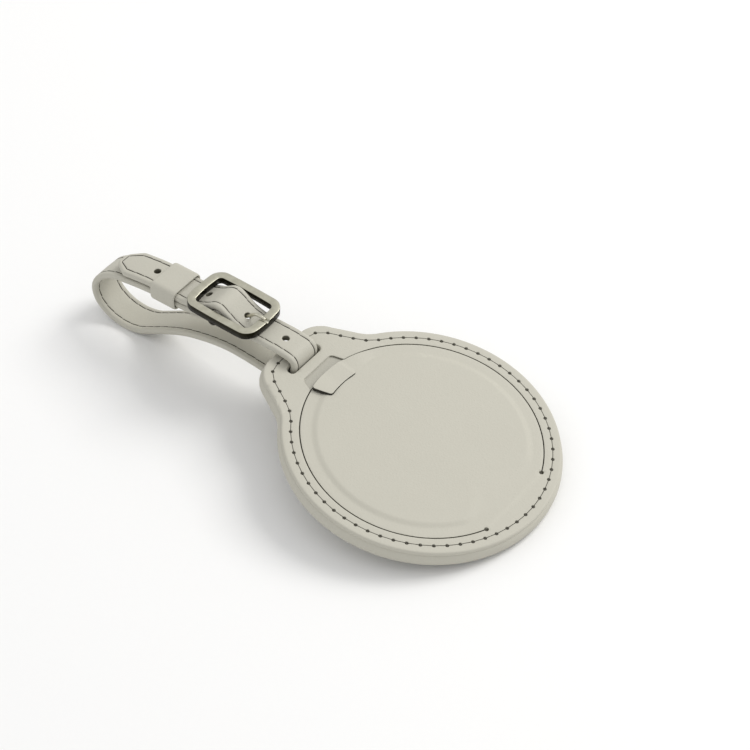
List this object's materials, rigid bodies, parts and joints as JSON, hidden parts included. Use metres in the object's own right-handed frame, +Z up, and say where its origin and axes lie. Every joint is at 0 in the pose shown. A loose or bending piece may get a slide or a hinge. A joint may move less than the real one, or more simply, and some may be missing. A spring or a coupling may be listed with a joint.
{
  "type": "luggage tracker tag",
  "caption": "Round leather luggage tag holding a sealed tracker module, with a flap over a card pocket and a buckled leather strap threaded through its lug.",
  "frame": {"origin": "bottom centre of the object's box as it stands on a table, resting on the tag's far rim and on the strap loop", "axes": "+X from the strap loop to the tag's far rim, along the object's length; +Z up; +Y to the left of +X. The tag's face leans 10 degrees down towards +X"},
  "size_m": [0.1398, 0.072, 0.0262],
  "materials": {
    "leather": "matte embossed leatherette, fine pebble grain, pale greige",
    "strap_leather": "matte leatherette with rounded painted edges, pale greige",
    "thread": "waxed polyester thread, dark olive brown",
    "lining": "short-nap microfibre lining",
    "card": "uncoated white card",
    "stiffener": "moulded fibre-filled plastic",
    "module_plastic": "fine spark-eroded black plastic",
    "seal_rubber": "black silicone rubber",
    "board": "green solder mask on glass laminate",
    "chip": "black moulded chip package",
    "copper": "bare and enamelled copper",
    "switch_metal": "gold-flashed spring metal and brass",
    "lamp": "clear moulded light guide",
    "cell_foil": "dull aluminium laminate pouch",
    "ferrite": "dark grey flexible ferrite",
    "button_rubber": "matte soft-touch button in the leather's colour",
    "gunmetal": "polished gunmetal plating with bright worn edges"
  },
  "bodies": {
    "tag": {"front_cover": "leather", "perimeter_stitching": "thread", "pocket_lining": "lining", "id_card": "card", "core_frame": "stiffener", "back_cover": "leather", "module_front_shell": "module_plastic", "module_back_shell": "module_plastic", "seal_ring": "seal_rubber", "circuit_board": "board", "bluetooth_chip": "chip", "sounder_driver": "chip", "antenna": "copper", "dome_switch": "switch_metal", "status_led": "lamp", "light_guide": "lamp", "rechargeable_cell": "cell_foil", "charging_coil": "copper", "ferrite_sheet": "ferrite", "piezo_sounder": "switch_metal", "strap_slot_bend": "strap_leather"},
    "flap": {"cover_flap": "leather", "flap_pull_tab": "leather"},
    "button": {"button_cap": "button_rubber"},
    "strap": {"strap_wrap": "strap_leather", "strap_free_run": "strap_leather"},
    "tail": {"strap_tail": "strap_leather"},
    "keeper": {"keeper_loop": "strap_leather"},
    "buckle": {"buckle_frame": "gunmetal", "buckle_center_bar": "gunmetal"},
    "prong": {"buckle_prong": "gunmetal"}
  },
  "joints": [
    {"name": "flap_hinge", "type": "hinge", "parent": "tag", "child": "flap", "pos_m": [0.06288, 0, 0.00611], "axis": [0, 1, 0], "range_deg": [0, 115]},
    {"name": "button_press", "type": "slide", "parent": "tag", "child": "button", "axis": [0.175, 0, 0.9846], "range_m": [0, 0.0003], "stiffness_N_per_m": 3000},
    {"name": "strap_swing", "type": "hinge", "parent": "tag", "child": "strap", "pos_m": [-0.0088, 0, 0.01631], "axis": [0, 1, 0], "range_deg": [-40, 60], "deforming": ["strap_slot_bend"]},
    {"name": "tail_lift", "type": "hinge", "parent": "strap", "child": "tail", "pos_m": [-0.0486, 0, 0.02208], "axis": [0, 1, 0], "range_deg": [0, 30]},
    {"name": "keeper_slide", "type": "slide", "parent": "strap", "child": "keeper", "axis": [0.9999, 0, -0.0136], "range_m": [-0.002, 0.0006]},
    {"name": "buckle_rock", "type": "hinge", "parent": "strap", "child": "buckle", "pos_m": [-0.0263, 0, 0.02242], "axis": [0, 1, 0], "range_deg": [0, 1.2]},
    {"name": "prong_pivot", "type": "hinge", "parent": "buckle", "child": "prong", "pos_m": [-0.0263, 0, 0.02242], "axis": [0, -1, 0], "range_deg": [0, 5]}
  ]
}
